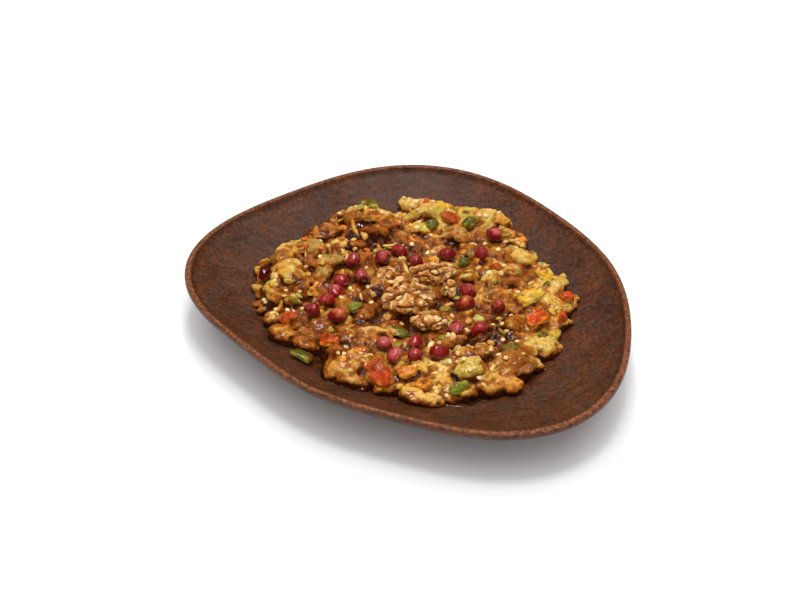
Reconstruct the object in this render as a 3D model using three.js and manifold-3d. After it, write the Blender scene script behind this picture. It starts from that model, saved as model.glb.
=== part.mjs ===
// Baba ganoush served on its own small stoneware plate.
// The plate is a shallow dish with a rounded three-cornered outline. The dip is a low, lumpy ring of
// mashed aubergine, and walnut, pomegranate arils and diced peppers lie half sunk in its top.
// Units are millimetres and +Z is up. The origin is on the table, under the middle of the plate.

import * as THREE from 'three';
import { mergeVertices } from 'three/addons/utils/BufferGeometryUtils.js';
import Module from 'manifold-3d';

const wasm = await Module();
wasm.setup();

// ---------------------------------------------------------------- driving dimensions

const GAP = 0.3; // left between pieces that touch

const PLATE = {
  meanRadius: 96.6,
  height: 27,
  floorTop: 7.5, // eating surface at the middle
  insidePower: 3.2, // the inside rises with this power of the radius
  rimRadius: 1.6, // rounding of the rim
  edgeHeight: 4.6, // upright outer edge under the rim
  footOuter: 50,
  footInner: 44,
  footRecess: 1.5,
  underPower: 1.2, // the underside rises with this power of the way out from the foot
  ringSpacing: 0.8, // under 1, the rings of the inside are closer together towards the rim
  sides: 48,
};

// Each lobe adds share * cos(count * (angle - at)) to an outline; angles are in degrees.
const PLATE_LOBES = [
  { count: 2, share: 0.096, at: -43 },
  { count: 3, share: 0.057, at: -57 },
  { count: 4, share: 0.01, at: -5 },
  { count: 5, share: 0.024, at: 19 },
  { count: 6, share: 0.008, at: -2 },
];

const MASH = {
  x: 5,
  y: 8,
  meanRadius: 69.3,
  depth: 11.5, // cover over the plate at the middle
  slump: 2.4, // how much of it is lost at the edge
  ridge: 1.8, // further cover on the ring
  ridgeAt: 0.76, // share of the radius
  ridgeWidth: 0.2,
  edgePower: 8, // how late the top turns down towards the edge
  edgeStep: 0.03, // share of the squared cover left at the very edge
  underGap: 0.5, // the plate's curve is faceted, so this is a little more than GAP
  sides: 46,
};

const MASH_LOBES = [
  { count: 2, share: 0.054, at: -54 },
  { count: 3, share: 0.028, at: 60 },
  { count: 4, share: 0.053, at: -7 },
  { count: 5, share: 0.019, at: -26 },
  { count: 6, share: 0.023, at: -8 },
  { count: 7, share: 0.016, at: -4 },
  { count: 9, share: 0.016, at: 0 },
];

// Heaps left by the spoon: x, y, spread and rise.
const LUMPS = [
  [-22, -47, 10, 2.4],
  [-6, -54, 9, 1.2],
  [13, -57, 11, 1.8],
  [31, -54, 11, 2.2],
  [47, -40, 10, 2.2],
  [58, -22, 9, 1.6],
  [61, 1, 10, 2.2],
  [53, 18, 9, 2.8],
  [51, 34, 8, 1.4],
  [37, 57, 11, 2.6],
  [8, 63, 11, 3],
  [-17, 62, 10, 2.4],
  [-37, 46, 10, 2],
  [-44, 31, 7, 2.6],
  [-54, 23, 8, 2.8],
  [-48, 9, 8, 1.8],
  [-59, 1, 8, 2],
  [-49, -21, 9, 2.4],
  [-36, -28, 8, 1.6],
];

const ARIL = {
  length: 8.75,
  width: 7,
  sizeSpread: 0.06, // how much the sizes differ, as a share
  tiltSpread: 6, // degrees
  taper: 0.2,
  lift: 1.5,
  sides: 8,
  rings: 5,
};

// Pomegranate arils: x, y and the heading of the pointed end in degrees.
const ARILS = [
  [-23.5, 26.5, 50],
  [-20, 15.5, 100],
  [-29, 11.5, 130],
  [-31, 3, 150],
  [-35, -4.5, 30],
  [-41, -13, 160],
  [-29.5, -16, 10],
  [-10.5, 29, 60],
  [-2, 34.5, 150],
  [5.5, 27, 100],
  [20.5, 31.5, 5],
  [42.5, 42, 130],
  [36, 30.5, 100],
  [29.5, 4, 140],
  [27.5, -5, 20],
  [42, -7.5, 110],
  [23, -23.5, 70],
  [33, -24.5, 40],
  [5, -34.5, 60],
  [15.5, -42, 10],
  [-8.5, -36.5, 140],
  [-4, -45.5, 60],
  [5, -44, 90],
  [-64, 15.5, 80],
];

// The furrow parts the two lobes of a kernel, and the folds are the waves of its surface.
const WALNUT = {
  furrowDepth: 0.24,
  furrowWidth: 0.3,
  foldDepth: 0.07,
  foldsAlong: 6,
  foldsAcross: 5,
  lift: 0.22, // share of the height
  sides: 12,
  rings: 8,
};

// A pocket in the mash is a plainer, slightly larger form of the piece that lies in it.
const ARIL_POCKET = { sides: 6, rings: 4, swell: 1.13 };
const WALNUT_POCKET = { sides: 8, rings: 5, swell: 1.17 };

// Walnut kernel pieces: x, y, length, width, height, heading and tilt in degrees.
const WALNUTS = [
  [2.5, -3, 27, 21, 13, 25, 4],
  [12.5, 15.5, 26, 14, 11, 12, -4],
  [20.5, 6, 10.5, 8, 8, 70, 0],
  [11, -18.5, 14, 9.5, 8, 15, 6],
  [-13, 5, 10, 8, 7, 80, 10],
  [-8.5, 18, 10, 8, 6, 30, 0],
];

const PEPPER = { endTaper: 0.25, topTaper: 0.12, bend: 0.16 };

const LOOKS = {
  plate: { color: 0x4a2c20, roughness: 0.55 },
  mash: { color: 0xb99a4e, roughness: 0.4 },
  aril: { color: 0x8e1424, roughness: 0.2 },
  walnut: { color: 0xb98549, roughness: 0.5 },
  skin: { color: 0x6b4424, roughness: 0.45 },
  red: { color: 0xc8341c, roughness: 0.3 },
  orange: { color: 0xe0762a, roughness: 0.3 },
  yellow: { color: 0xe2b53a, roughness: 0.3 },
  green: { color: 0x7f9a2e, roughness: 0.3 },
};

// Diced peppers: colour, x, y, length, width, thickness, heading and tilt in degrees, and lift.
const PEPPERS = [
  ['red', -10.5, -55.5, 14, 9, 4, -58, 2, 1.2],
  ['orange', 1.5, -54.5, 8, 6, 3.5, 20, 0, 0.6],
  ['orange', 8, -61, 7, 6, 3.5, -10, 0, 0.6],
  ['red', 60, -18, 12, 7, 3.5, 20, 0, 0.8],
  ['red', 74, -1.5, 6.5, 5, 3.5, 10, 0, 0.9],
  ['red', 71, -14.5, 6, 5, 3.5, 80, 0, 0.9],
  ['yellow', 57.5, -4.5, 13, 7, 3, 15, 0, 0.5],
  ['yellow', 64.5, 13, 9, 6, 3, -40, 0, 0.5],
  ['red', 22, 57, 9, 6.5, 3.5, -15, 10, 0.7],
  ['orange', -15, 57, 8, 6, 3.5, 10, 8, 0.8],
  ['orange', 13.5, 28, 6, 5, 3, 10, 0, 0.7],
  ['red', 42.5, 20, 7, 5, 3, -10, 0, 0.6],
  ['red', -33, -31, 10, 6, 3, -20, 0, 0.6],
  ['red', -52, -15.5, 8, 6, 3, 40, 0, 0.6],
  ['orange', -40.5, 2.5, 6, 5, 3, 60, 0, 0.7],
  ['green', -2, -24.5, 9, 6, 3, -20, 0, 0.6],
  ['green', -21.5, -6, 8, 6, 3, 30, 0, 0.6],
  ['green', 31.5, 52, 8, 5, 3, 30, 10, 0.7],
  ['green', 28, 27, 5.5, 5, 3, 20, 0, 0.6],
  ['green', 13.5, 53, 6.5, 4.5, 3, 20, 0, 0.6],
  ['green', -17, 68.5, 9, 6, 3, 40, 15, 0.7],
  ['green', 47, -37, 9, 5, 3, 25, 0, 0.6],
  ['green', 62, -26, 6, 5, 3, 60, 0, 0.6],
  ['green', 24, -61, 10, 6, 3, 15, 0, 0.6],
];

// A green strip that lies on the plate beside the mash: x, y, length, width, thickness and heading,
// and how far its middle is above the plate's curve, so that its corners clear it.
const FALLEN_PEPPER = [-45, -38, 11, 6.5, 3, -25, 2.9];

// A folded strip of charred aubergine skin: x, y, length, width, thickness, heading, tilt and lift.
const SKIN_STRIP = [-38, 47, 18, 12.5, 5.2, 25, 8, 1.7];

// ---------------------------------------------------------------- outlines and heights

const radians = THREE.MathUtils.degToRad;

function outlineScale(lobes, angle) {
  let scale = 1;
  for (const lobe of lobes) {
    scale += lobe.share * Math.cos(lobe.count * (angle - radians(lobe.at)));
  }
  return scale;
}

// The plate's outline is drawn about its own centre, so this is what centres its box on the origin.
function plateCentre() {
  const box = new THREE.Box2();
  const steps = 720;
  for (let step = 0; step < steps; step += 1) {
    const angle = (2 * Math.PI * step) / steps;
    const radius = PLATE.meanRadius * outlineScale(PLATE_LOBES, angle);
    box.expandByPoint(new THREE.Vector2(radius * Math.cos(angle), radius * Math.sin(angle)));
  }
  return box.getCenter(new THREE.Vector2()).negate();
}

const PLATE_CENTRE = plateCentre();

function insideHeight(share) {
  return PLATE.floorTop + (PLATE.height - PLATE.floorTop) * share ** PLATE.insidePower;
}

function plateTop(x, y) {
  const dx = x - PLATE_CENTRE.x;
  const dy = y - PLATE_CENTRE.y;
  const edge = PLATE.meanRadius * outlineScale(PLATE_LOBES, Math.atan2(dy, dx));
  return insideHeight(Math.hypot(dx, dy) / edge);
}

function mashTop(x, y) {
  const dx = x - MASH.x;
  const dy = y - MASH.y;
  const edge = MASH.meanRadius * outlineScale(MASH_LOBES, Math.atan2(dy, dx));
  const share = Math.min(Math.hypot(dx, dy) / edge, 1);
  let cover = MASH.depth - MASH.slump * share * share;
  cover += MASH.ridge * Math.exp(-(((share - MASH.ridgeAt) / MASH.ridgeWidth) ** 2));
  for (const [lumpX, lumpY, spread, rise] of LUMPS) {
    const away = Math.hypot(x - lumpX, y - lumpY) / spread;
    cover += rise * Math.exp(-away * away);
  }
  const fall = Math.sqrt(1 - (1 - MASH.edgeStep) * share ** MASH.edgePower);
  return plateTop(x, y) + cover * fall;
}

function mashNormal(x, y) {
  const step = 1.5;
  const slopeX = (mashTop(x + step, y) - mashTop(x - step, y)) / (2 * step);
  const slopeY = (mashTop(x, y + step) - mashTop(x, y - step)) / (2 * step);
  return new THREE.Vector3(-slopeX, -slopeY, 1).normalize();
}

// ---------------------------------------------------------------- helpers

function warp(geometry, move) {
  const positions = geometry.getAttribute('position');
  const point = new THREE.Vector3();
  for (let index = 0; index < positions.count; index += 1) {
    point.fromBufferAttribute(positions, index);
    move(point);
    positions.setXYZ(index, point.x, point.y, point.z);
  }
  geometry.computeVertexNormals();
  return geometry;
}

function closed(geometry) {
  const bare = geometry.clone();
  bare.deleteAttribute('normal');
  bare.deleteAttribute('uv');
  return mergeVertices(bare, 1e-4);
}

function toSolid(geometry) {
  const merged = closed(geometry);
  const vertProperties = new Float32Array(merged.getAttribute('position').array);
  const triVerts = new Uint32Array(merged.getIndex().array);
  return new wasm.Manifold(new wasm.Mesh({ numProp: 3, vertProperties, triVerts }));
}

function fromSolid(solid) {
  const mesh = solid.getMesh();
  const geometry = new THREE.BufferGeometry();
  geometry.setAttribute('position', new THREE.BufferAttribute(mesh.vertProperties, 3));
  geometry.setIndex(new THREE.BufferAttribute(mesh.triVerts, 1));
  geometry.computeVertexNormals();
  return geometry;
}

// Lays a piece on the mash: its flat side follows the surface, then it is turned and tilted.
function layOnMash(x, y, lift, heading, tilt) {
  const up = new THREE.Vector3(0, 0, 1);
  const lean = new THREE.Quaternion().setFromUnitVectors(up, mashNormal(x, y));
  const turn = new THREE.Quaternion().setFromAxisAngle(up, radians(heading));
  const nod = new THREE.Quaternion().setFromAxisAngle(new THREE.Vector3(0, 1, 0), radians(tilt));
  return {
    position: new THREE.Vector3(x, y, mashTop(x, y) + lift),
    quaternion: lean.multiply(turn).multiply(nod),
  };
}

function placedMesh(name, geometry, look, place) {
  const material = new THREE.MeshStandardMaterial({ ...look, metalness: 0 });
  const mesh = new THREE.Mesh(geometry, material);
  mesh.name = name;
  mesh.position.copy(place.position);
  mesh.quaternion.copy(place.quaternion);
  mesh.updateMatrixWorld();
  return mesh;
}

const HOME = { position: new THREE.Vector3(), quaternion: new THREE.Quaternion() };

const numbered = (word, index) => `${word}_${String(index + 1).padStart(2, '0')}`;

// ---------------------------------------------------------------- plate

function plateProfile() {
  const { meanRadius, height, rimRadius, footOuter, footInner, footRecess } = PLATE;
  const points = [
    new THREE.Vector2(0, footRecess),
    new THREE.Vector2(footInner, footRecess),
    new THREE.Vector2(footInner + footRecess, 0),
    new THREE.Vector2(footOuter, 0),
  ];
  const edgeBottom = height - PLATE.edgeHeight;
  const underSteps = 4;
  for (let step = 1; step <= underSteps; step += 1) {
    const share = step / underSteps;
    const radius = THREE.MathUtils.lerp(footOuter, meanRadius - rimRadius, share);
    points.push(new THREE.Vector2(radius, edgeBottom * share ** PLATE.underPower));
  }
  points.push(new THREE.Vector2(meanRadius, edgeBottom + rimRadius));
  const rimSteps = 5;
  const rimTurn = 150; // degrees, from the outer edge over the crest
  for (let step = 0; step <= rimSteps; step += 1) {
    const angle = radians((rimTurn * step) / rimSteps);
    const radius = meanRadius - rimRadius + rimRadius * Math.cos(angle);
    points.push(new THREE.Vector2(radius, height - rimRadius + rimRadius * Math.sin(angle)));
  }
  const insideSteps = 6;
  const rimInner = 1 - (2 * rimRadius) / meanRadius;
  for (let step = 0; step <= insideSteps; step += 1) {
    const share = rimInner * (1 - step / insideSteps) ** PLATE.ringSpacing;
    points.push(new THREE.Vector2(meanRadius * share, insideHeight(share)));
  }
  return points;
}

function plate() {
  const geometry = new THREE.LatheGeometry(plateProfile(), PLATE.sides);
  geometry.rotateX(Math.PI / 2);
  warp(geometry, (point) => {
    const scale = outlineScale(PLATE_LOBES, Math.atan2(point.y, point.x));
    point.x = point.x * scale + PLATE_CENTRE.x;
    point.y = point.y * scale + PLATE_CENTRE.y;
  });
  return placedMesh('plate', geometry, LOOKS.plate, HOME);
}

// ---------------------------------------------------------------- mash

// The profile's x is a share of the mash's radius, and its y is 0 underneath and 1 on top.
function mashBody() {
  const underShares = [0, 0.35, 0.65, 0.85, 1];
  const topShares = [1, 0.985, 0.95, 0.89, 0.81, 0.71, 0.6, 0.47, 0.32, 0.16, 0];
  const points = [
    ...underShares.map((share) => new THREE.Vector2(share, 0)),
    ...topShares.map((share) => new THREE.Vector2(share, 1)),
  ];
  const geometry = new THREE.LatheGeometry(points, MASH.sides);
  geometry.rotateX(Math.PI / 2);
  return warp(geometry, (point) => {
    const onTop = point.z > 0.5;
    const edge = MASH.meanRadius * outlineScale(MASH_LOBES, Math.atan2(point.y, point.x));
    point.x = MASH.x + point.x * edge;
    point.y = MASH.y + point.y * edge;
    point.z = onTop ? mashTop(point.x, point.y) : plateTop(point.x, point.y) + MASH.underGap;
  });
}

function mash(pockets) {
  let solid = toSolid(mashBody());
  for (const pocket of pockets) {
    const cutter = pocket.geometry.clone().applyMatrix4(pocket.matrixWorld);
    solid = solid.subtract(toSolid(cutter));
  }
  return placedMesh('mash', fromSolid(solid), LOOKS.mash, HOME);
}

// ---------------------------------------------------------------- toppings

function arilShape(length, width) {
  const geometry = new THREE.SphereGeometry(1, ARIL.sides, ARIL.rings).rotateZ(Math.PI / 2);
  return warp(geometry, (point) => {
    const thin = 1 - ARIL.taper * point.x;
    point.x *= length / 2;
    point.y *= (width / 2) * thin;
    point.z *= (width / 2) * thin;
  });
}

function walnutShape(length, width, height, index) {
  const geometry = new THREE.SphereGeometry(1, WALNUT.sides, WALNUT.rings).rotateX(Math.PI / 2);
  return warp(geometry, (point) => {
    const across = point.y / WALNUT.furrowWidth;
    const furrow = WALNUT.furrowDepth * Math.exp(-across * across) * Math.max(point.z, 0);
    const foldAlong = Math.sin(WALNUT.foldsAlong * point.x + index);
    const foldAcross = Math.cos(WALNUT.foldsAcross * point.y + 2 * index);
    const swell = 1 - furrow + WALNUT.foldDepth * (foldAlong * foldAcross - 1);
    point.x *= (length / 2) * swell;
    point.y *= (width / 2) * swell;
    point.z *= (height / 2) * swell;
  });
}

function roundPocket(form, length, width, height) {
  const geometry = new THREE.SphereGeometry(form.swell, form.sides, form.rings);
  return geometry.rotateZ(Math.PI / 2).scale(length / 2 + GAP, width / 2 + GAP, height / 2 + GAP);
}

function stripShape(length, width, thickness) {
  const geometry = new THREE.BoxGeometry(1, 1, 1, 3, 2, 1);
  return warp(geometry, (point) => {
    const along = 2 * point.x;
    const top = 1 - PEPPER.topTaper * Math.sign(point.z);
    point.x *= length * (top + 1) / 2;
    point.y *= width * top * (1 - PEPPER.endTaper * along * along);
    point.z = thickness * (point.z - PEPPER.bend * along * along);
  });
}

function stripPocket(length, width, thickness) {
  const wider = 1 + PEPPER.topTaper;
  const deeper = 1 + PEPPER.bend;
  const geometry = new THREE.BoxGeometry(length * wider, width * wider, thickness * deeper + 2 * GAP);
  return geometry.translate(0, 0, (-thickness * PEPPER.bend) / 2);
}

const toppings = [];
const pockets = [];

function addTopping(name, shape, pocket, look, place) {
  toppings.push(placedMesh(name, shape, look, place));
  pockets.push(placedMesh(name, pocket, look, place));
}

function addArils() {
  ARILS.forEach(([x, y, heading], index) => {
    const size = 1 + ARIL.sizeSpread * Math.sin(2.4 * index);
    const length = ARIL.length * size;
    const width = ARIL.width * size;
    const shape = arilShape(length, width);
    const girth = width * (1 + ARIL.taper / 3);
    const pocket = roundPocket(ARIL_POCKET, length, girth, girth);
    const tilt = ARIL.tiltSpread * Math.sin(1.7 * index);
    const place = layOnMash(x, y, ARIL.lift, heading, tilt);
    addTopping(numbered('aril', index), shape, pocket, LOOKS.aril, place);
  });
}

function addWalnuts() {
  WALNUTS.forEach(([x, y, length, width, height, heading, tilt], index) => {
    const shape = walnutShape(length, width, height, index);
    const pocket = roundPocket(WALNUT_POCKET, length, width, height);
    const place = layOnMash(x, y, WALNUT.lift * height, heading, tilt);
    addTopping(numbered('walnut', index), shape, pocket, LOOKS.walnut, place);
  });
}

function addStrip(name, look, size, place) {
  addTopping(name, stripShape(...size), stripPocket(...size), look, place);
}

function addPeppers() {
  const counts = {};
  for (const [colour, x, y, length, width, thickness, heading, tilt, lift] of PEPPERS) {
    const index = counts[colour] ?? 0;
    counts[colour] = index + 1;
    const name = numbered(`pepper_${colour}`, index);
    const place = layOnMash(x, y, lift, heading, tilt);
    addStrip(name, LOOKS[colour], [length, width, thickness], place);
  }
}

function addFallenPepper() {
  const [x, y, length, width, thickness, heading, lift] = FALLEN_PEPPER;
  const place = layOnMash(x, y, 0, heading, 0);
  place.position.z = plateTop(x, y) + lift;
  addStrip('pepper_green_fallen', LOOKS.green, [length, width, thickness], place);
}

function addSkinStrip() {
  const [x, y, length, width, thickness, heading, tilt, lift] = SKIN_STRIP;
  const place = layOnMash(x, y, lift, heading, tilt);
  addStrip('aubergine_skin', LOOKS.skin, [length, width, thickness], place);
}

// ---------------------------------------------------------------- the whole dish

addArils();
addWalnuts();
addPeppers();
addFallenPepper();
addSkinStrip();

const group = new THREE.Group();
group.add(plate(), mash(pockets), ...toppings);

export default group;
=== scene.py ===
"""Looks of a small plate of baba ganoush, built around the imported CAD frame.

The plate is stoneware with a worn rim. The mash is lumps of pulp fused over a smaller core, with
strands on top. The arils, walnut pieces, peppers and skin strip are modelled where their CAD nodes
lie, each with its node's length, width and thickness.
"""
import itertools
import math

import bmesh
import bpy
import numpy as np
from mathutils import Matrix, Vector, kdtree, noise
from mathutils.bvhtree import BVHTree


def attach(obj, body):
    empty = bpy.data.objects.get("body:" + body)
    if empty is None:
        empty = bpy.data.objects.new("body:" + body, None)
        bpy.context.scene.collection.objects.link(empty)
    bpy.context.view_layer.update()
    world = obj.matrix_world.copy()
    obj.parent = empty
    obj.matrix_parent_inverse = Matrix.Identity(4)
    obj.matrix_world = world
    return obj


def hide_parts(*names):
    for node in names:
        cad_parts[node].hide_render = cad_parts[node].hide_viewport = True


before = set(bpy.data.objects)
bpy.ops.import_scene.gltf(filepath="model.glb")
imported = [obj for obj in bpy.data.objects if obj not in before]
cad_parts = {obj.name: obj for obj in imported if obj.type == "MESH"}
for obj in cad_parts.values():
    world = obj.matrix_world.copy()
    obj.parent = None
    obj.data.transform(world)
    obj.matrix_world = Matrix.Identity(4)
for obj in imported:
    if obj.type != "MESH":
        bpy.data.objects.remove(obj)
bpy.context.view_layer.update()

MM = 0.001

# ---------------------------------------------------------------- driving dimensions, in mm

PLATE = {
    "radius": 96.6,
    "height": 27.0,
    "floor": 7.5,
    "inside_power": 3.2,
    "rim_radius": 1.6,
    "edge_height": 4.6,
    "foot_outer": 50.0,
    "foot_inner": 44.0,
    "foot_recess": 1.5,
    "under_power": 1.2,
}
# Lobes of the plate's outline: count, share of the radius, and the angle of the first one in degrees.
PLATE_LOBES = ((2, 0.096, -43), (3, 0.057, -57), (4, 0.01, -5), (5, 0.024, 19), (6, 0.008, -2))

MASH_CENTRE = np.array([5.0, 8.0])
MASH_UNDER_GAP = 0.5  # between the mash's core and the plate

CAMERA_ELEVATION = 38  # degrees
CAMERA_DISTANCE = 750
CAMERA_AIM = (0.5, -14.2, PLATE["height"])
FLOOR_RADIUS = 650


# ---------------------------------------------------------------- mesh helpers

def linked(name, data):
    """A new object in the scene."""
    made = bpy.data.objects.new(name, data)
    bpy.context.scene.collection.objects.link(made)
    return made


def mesh_object(name, points_mm, faces, body="root"):
    """A smooth-shaded mesh object from points in mm; the faces are lists of point numbers."""
    mesh = bpy.data.meshes.new(name)
    mesh.from_pydata((np.asarray(points_mm) * MM).tolist(), [], [tuple(f) for f in faces])
    mesh.validate()
    mesh.polygons.foreach_set("use_smooth", [True] * len(mesh.polygons))
    piece = linked(name, mesh)
    if body:
        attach(piece, body)
    return piece


def points_of(mesh):
    """The vertices of a mesh in mm."""
    flat = np.empty(len(mesh.vertices) * 3)
    mesh.vertices.foreach_get("co", flat)
    return flat.reshape(-1, 3) / MM


def normals_of(mesh):
    flat = np.empty(len(mesh.vertices) * 3)
    mesh.vertex_normals.foreach_get("vector", flat)
    return flat.reshape(-1, 3)


def set_points(mesh, points_mm):
    mesh.vertices.foreach_set("co", (points_mm * MM).ravel())
    mesh.update()


def applied(piece):
    """A mesh with the piece's modifiers applied; the piece itself is removed."""
    old = piece.data
    mesh = bpy.data.meshes.new_from_object(piece.evaluated_get(bpy.context.evaluated_depsgraph_get()))
    bpy.data.objects.remove(piece)
    bpy.data.meshes.remove(old)
    return mesh


def full_turn(count):
    """Angles evenly spaced round a circle."""
    return np.linspace(0, 2 * math.pi, count, endpoint=False)


def icosphere(steps):
    """Points and faces of a unit icosphere."""
    bm = bmesh.new()
    bmesh.ops.create_icosphere(bm, subdivisions=steps, radius=1.0)
    points = np.array([v.co[:] for v in bm.verts])
    faces = np.array([[v.index for v in f.verts] for f in bm.faces])
    bm.free()
    return points, faces


def joined(parts):
    """One set of points and faces from several."""
    points, faces, start = [], [], 0
    for part_points, part_faces in parts:
        points.append(part_points)
        faces.append(np.asarray(part_faces) + start)
        start += len(part_points)
    return np.concatenate(points), np.concatenate(faces)


def revolved(rings, outward=True):
    """Points and triangles of a closed surface from its rings, an array of ring, side and xyz."""
    count, sides = rings.shape[:2]
    here = np.arange(sides)
    after = (here + 1) % sides
    low = (np.arange(count - 1) * sides)[:, None]
    a, b = low + here, low + after
    c, d = a + sides, b + sides
    first = count * sides
    end = (count - 1) * sides
    faces = np.concatenate([
        np.stack([a, c, d], axis=-1).reshape(-1, 3),
        np.stack([a, d, b], axis=-1).reshape(-1, 3),
        np.stack([np.full(sides, first), here, after], axis=1),
        np.stack([np.full(sides, first + 1), end + after, end + here], axis=1),
    ])
    points = np.concatenate([rings.reshape(-1, 3), rings[[0, -1]].mean(axis=1)])
    return points, faces if outward else faces[:, ::-1]


def sheet_rings(x, y, top, bottom):
    """The rings of a sheet: out over its top, then back under its bottom."""
    return np.concatenate([np.stack([x, y, top], axis=2), np.stack([x, y, bottom], axis=2)[::-1]])


def tilted_axes(heading, lean):
    """Three rows of axes, the first along the heading and the third near +Z, leaning by two slopes."""
    along = np.array([math.cos(heading), math.sin(heading), lean[0]])
    along /= np.linalg.norm(along)
    side = np.cross([lean[1], -lean[1], 1.0], along)
    side /= np.linalg.norm(side)
    return np.stack([along, side, np.cross(along, side)])


def axes_about(up, heading):
    """Three rows of axes, the third along up and the first turned by heading about it."""
    up = up / np.linalg.norm(up)
    side = np.cross(up, [math.cos(heading), math.sin(heading), 0.01])
    side /= np.linalg.norm(side)
    return np.stack([np.cross(side, up), side, up])


def rounded_box(steps, power):
    """A unit box with round edges; a higher power makes them tighter."""
    points, faces = icosphere(steps)
    reach = (np.abs(points) ** power).sum(axis=1) ** (1 / power)
    return points / reach[:, None], faces


def banded(rings):
    """Points and triangles of a closed ring from its rings, an array of ring, side and xyz."""
    count, sides = rings.shape[:2]
    here, after = np.arange(sides), (np.arange(sides) + 1) % sides
    low = (np.arange(count) * sides)[:, None]
    high = ((np.arange(count) + 1) % count * sides)[:, None]
    a, b, c, d = low + here, low + after, high + here, high + after
    faces = np.concatenate([np.stack([a, c, d], axis=-1).reshape(-1, 3),
                            np.stack([a, d, b], axis=-1).reshape(-1, 3)])
    return rings.reshape(-1, 3), faces


def float_attribute(piece, name, values):
    layer = piece.data.attributes.new(name, "FLOAT", "POINT")
    layer.data.foreach_set("value", np.asarray(values, dtype=np.float32))


def colour_attribute(piece, name, colours):
    layer = piece.data.attributes.new(name, "FLOAT_COLOR", "POINT")
    rgba = np.ones((len(colours), 4), dtype=np.float32)
    rgba[:, :3] = colours
    layer.data.foreach_set("color", rgba.ravel())


def smoothstep(low, high, value):
    t = np.clip((value - low) / (high - low), 0.0, 1.0)
    return t * t * (3 - 2 * t)


def blend(first, second, share):
    """The first where the share is 0, and the second where it is 1."""
    return np.asarray(first) * (1 - share) + np.asarray(second) * share


def fractal(points, size, octaves=2, offset=0.0):
    """Noise from about -1 to 1 at each point, with features of the given size in mm."""
    shift = Vector((offset, 1.7 * offset, -offset))
    values = [
        noise.fractal(Vector(p) / size + shift, 1.0, 2.0, octaves, noise_basis="PERLIN_ORIGINAL")
        for p in points
    ]
    return np.array(values)


# ---------------------------------------------------------------- material helpers

class Shader:
    """A material with a Principled BSDF, and short calls that add nodes to it."""

    def __init__(self, name, **constants):
        self.material = bpy.data.materials.new(name)
        self.material.use_nodes = True
        self.tree = self.material.node_tree
        self.surface = self.tree.nodes["Principled BSDF"]
        for socket, value in constants.items():
            self.surface.inputs[socket.replace("_", " ")].default_value = value

    def node(self, kind, **settings):
        made = self.tree.nodes.new(kind)
        for key, value in settings.items():
            setattr(made, key, value)
        return made

    def link(self, source, target):
        self.tree.links.new(source, target)

    def place(self):
        return self.node("ShaderNodeTexCoord").outputs["Object"]

    def stretched(self, scale, turn=0.0):
        mapping = self.node("ShaderNodeMapping")
        self.link(self.place(), mapping.inputs["Vector"])
        mapping.inputs["Scale"].default_value = scale
        mapping.inputs["Rotation"].default_value = (0, 0, turn)
        return mapping.outputs["Vector"]

    def noise(self, size_mm, detail=3.0, roughness=0.55, vector=None, distortion=0.0):
        texture = self.node("ShaderNodeTexNoise")
        self.link(vector or self.place(), texture.inputs["Vector"])
        texture.inputs["Scale"].default_value = 1 / (size_mm * MM)
        texture.inputs["Detail"].default_value = detail
        texture.inputs["Roughness"].default_value = roughness
        texture.inputs["Distortion"].default_value = distortion
        return texture.outputs["Fac"]

    def ramp(self, source, *stops):
        """A colour ramp; each stop is a position and a colour or a grey."""
        ramp = self.node("ShaderNodeValToRGB")
        self.link(source, ramp.inputs["Fac"])
        elements = ramp.color_ramp.elements
        while len(elements) < len(stops):
            elements.new(0.5)
        for element, (position, colour) in zip(elements, stops):
            element.position = position
            grey = isinstance(colour, (int, float))
            element.color = (colour, colour, colour, 1) if grey else (*colour, 1)
        return ramp.outputs["Color"]

    def mix(self, factor, first, second, mode="MIX"):
        """A colour mix; each input is a socket or a plain value."""
        mixer = self.node("ShaderNodeMix", data_type="RGBA", blend_type=mode)
        for value, socket in ((factor, 0), (first, 6), (second, 7)):
            if isinstance(value, bpy.types.NodeSocket):
                self.link(value, mixer.inputs[socket])
            elif socket == 0:
                mixer.inputs[socket].default_value = value
            else:
                mixer.inputs[socket].default_value = (*value, 1)
        return mixer.outputs[2]

    def math(self, operation, first, second=0.0, clamp=False):
        maths = self.node("ShaderNodeMath", operation=operation, use_clamp=clamp)
        for index, value in enumerate((first, second)):
            if isinstance(value, bpy.types.NodeSocket):
                self.link(value, maths.inputs[index])
            else:
                maths.inputs[index].default_value = value
        return maths.outputs["Value"]

    def attribute(self, name, output="Fac"):
        return self.node("ShaderNodeAttribute", attribute_name=name).outputs[output]

    def colour(self, socket):
        self.link(socket, self.surface.inputs["Base Color"])

    def tinted(self, shade, tint="tint"):
        """Colours the surface by a piece's own colour attribute, multiplied by a shade."""
        self.colour(self.mix(1.0, self.attribute(tint, "Color"), shade, "MULTIPLY"))

    def roughness(self, socket):
        self.link(socket, self.surface.inputs["Roughness"])

    def bump(self, *layers):
        """Bump from pairs of a height socket and its depth in mm."""
        previous = None
        for height, depth_mm in layers:
            bump = self.node("ShaderNodeBump")
            bump.inputs["Distance"].default_value = depth_mm * MM
            self.link(height, bump.inputs["Height"])
            if previous:
                self.link(previous, bump.inputs["Normal"])
            previous = bump.outputs["Normal"]
        self.link(previous, self.surface.inputs["Normal"])


# ---------------------------------------------------------------- stage, light and camera

def camera():
    """Looks down at the plate from above its front."""
    elevation = math.radians(CAMERA_ELEVATION)
    aim = Vector(CAMERA_AIM) * MM
    away = Vector((0, -math.cos(elevation), math.sin(elevation))) * CAMERA_DISTANCE * MM
    data = bpy.data.cameras.new("camera")
    data.lens = 75
    data.sensor_width = 36
    data.clip_start = 0.01
    seat = linked("camera", data)
    seat.location = aim + away
    seat.rotation_euler = (-away).to_track_quat("-Z", "Y").to_euler()
    bpy.context.scene.camera = seat


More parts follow.
